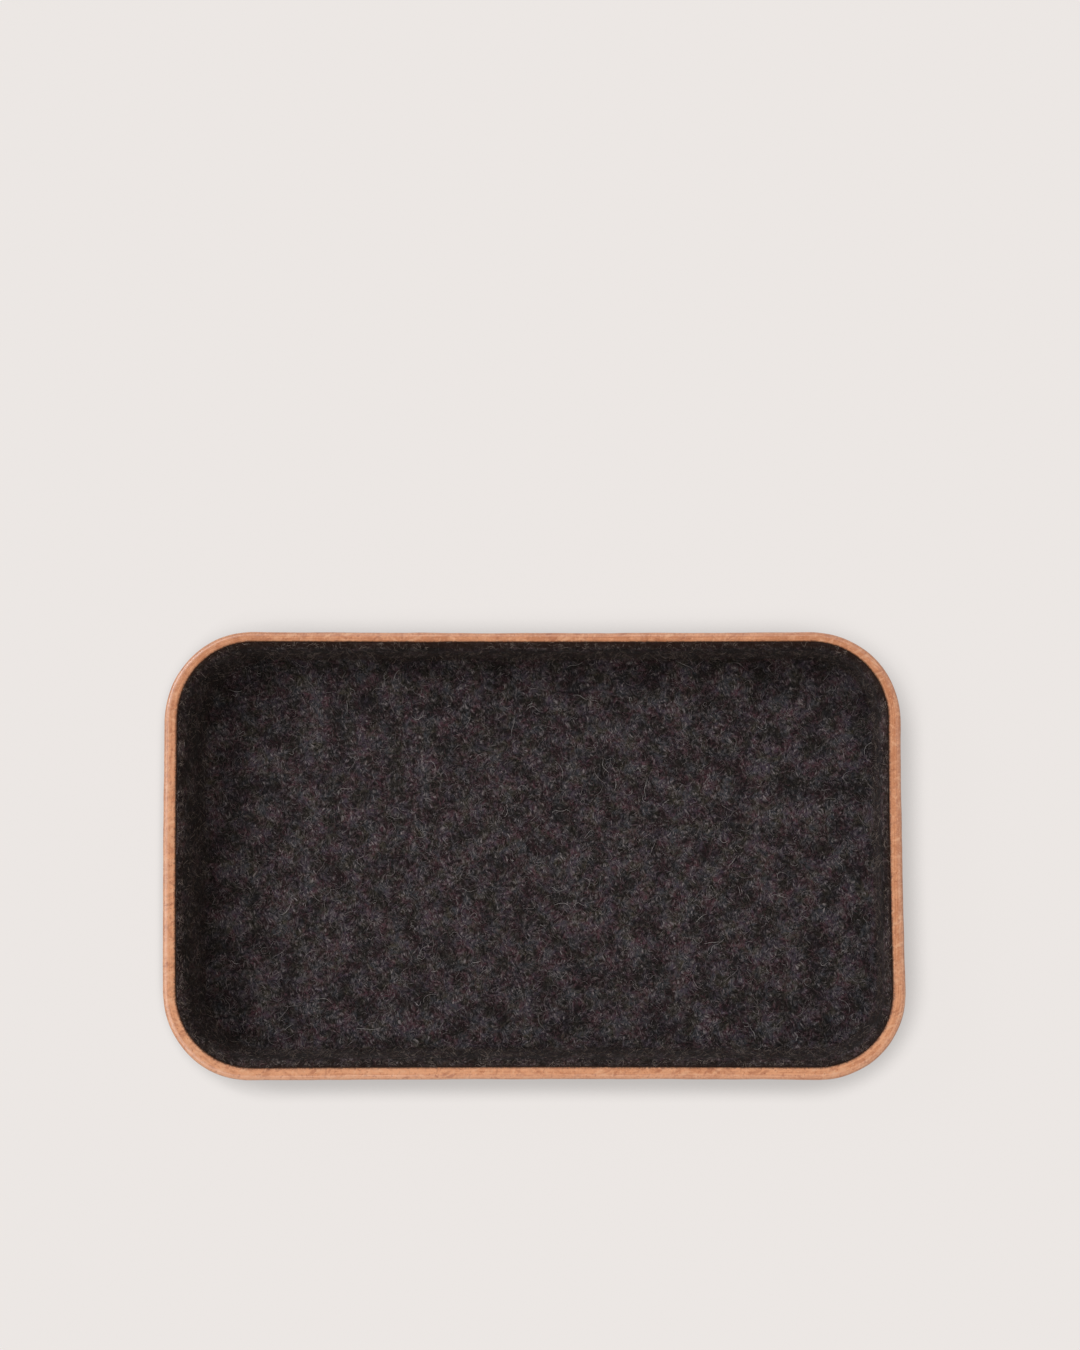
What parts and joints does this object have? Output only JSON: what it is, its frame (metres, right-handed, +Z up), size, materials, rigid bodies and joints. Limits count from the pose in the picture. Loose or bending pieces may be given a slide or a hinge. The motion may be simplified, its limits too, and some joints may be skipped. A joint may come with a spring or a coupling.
{
  "type": "catchall tray",
  "caption": "Shallow rounded-rectangle catchall tray: a wet-formed leather shell with a burnished cut rim, lined with pressed wool felt for small things.",
  "frame": {"origin": "centre of the underside, on the surface the tray stands on", "axes": "+X along the tray's length, +Y across it, +Z up out of its open top"},
  "size_m": [0.216, 0.1304, 0.03],
  "materials": {
    "leather": "natural vegetable-tanned tan, smooth grain, burnished cut edge",
    "bond": "dried contact cement, dark and dull",
    "felt": "charcoal pressed wool felt, matt and fuzzy"
  },
  "bodies": {
    "root": {"leather_shell": "leather", "bond_film": "bond", "felt_liner": "felt"}
  },
  "joints": []
}
